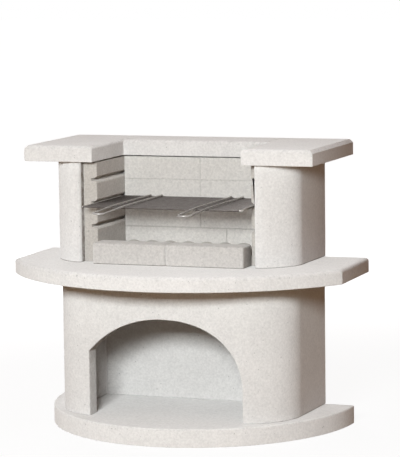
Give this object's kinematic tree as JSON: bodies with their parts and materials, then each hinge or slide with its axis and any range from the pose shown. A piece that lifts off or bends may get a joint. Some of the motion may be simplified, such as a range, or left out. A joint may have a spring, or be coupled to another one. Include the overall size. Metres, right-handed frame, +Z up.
{
  "type": "outdoor masonry barbecue",
  "caption": "Free-standing outdoor barbecue of cast slabs and walls with an arched wood store, a grooved firebox lining, loose fire bricks and a sliding wire cooking grid.",
  "frame": {"origin": "on the floor under the middle of the overall box", "axes": "+X to the viewer's right, +Y to the rear, +Z up; the arch, the firebox and the grid's handles face -Y"},
  "size_m": [1.2, 0.748, 0.9942],
  "materials": {
    "white_concrete": "off-white cast concrete, matt, finely pitted and speckled",
    "lining_concrete": "grey-beige heat-proof concrete, matt, smooth from the mould",
    "fire_brick": "light grey fire brick, matt, slightly rough",
    "steel_wire": "dull chromed steel wire"
  },
  "bodies": {
    "masonry": {"base_slab": "white_concrete", "lower_wall": "white_concrete", "lower_back_panel": "white_concrete", "table_slab": "white_concrete", "upper_wall_left": "white_concrete", "upper_wall_right": "white_concrete", "upper_back_panel": "white_concrete", "cap_left": "white_concrete", "cap_back": "white_concrete", "cap_right": "white_concrete", "lining_left": "lining_concrete", "lining_right": "lining_concrete", "back_block_1_left": "lining_concrete", "back_block_1_right": "lining_concrete", "back_block_2_left": "lining_concrete", "back_block_2_right": "lining_concrete", "back_block_3_left": "lining_concrete", "back_block_3_right": "lining_concrete", "back_block_4_left": "lining_concrete", "back_block_4_right": "lining_concrete", "hearth_slab": "fire_brick"},
    "cooking_grid": {"grid_lattice": "steel_wire", "grid_handle_left": "steel_wire", "grid_handle_right": "steel_wire"},
    "brick_left": {"fire_brick_left": "fire_brick"},
    "brick_right": {"fire_brick_right": "fire_brick"},
    "plate_left": {"ember_plate_left": "fire_brick"},
    "plate_right": {"ember_plate_right": "fire_brick"}
  },
  "joints": [
    {"name": "grid_slide", "type": "slide", "parent": "masonry", "child": "cooking_grid", "axis": [0, -1, 0], "range_m": [0, 0.36]},
    {"name": "brick_left_slide", "type": "slide", "parent": "masonry", "child": "brick_left", "axis": [0, -1, 0], "range_m": [0, 0.15]},
    {"name": "brick_right_slide", "type": "slide", "parent": "masonry", "child": "brick_right", "axis": [0, -1, 0], "range_m": [0, 0.15]},
    {"name": "plate_left_lift", "type": "slide", "parent": "masonry", "child": "plate_left", "axis": [0, 0, 1], "range_m": [0, 0.1]},
    {"name": "plate_right_lift", "type": "slide", "parent": "masonry", "child": "plate_right", "axis": [0, 0, 1], "range_m": [0, 0.1]}
  ]
}
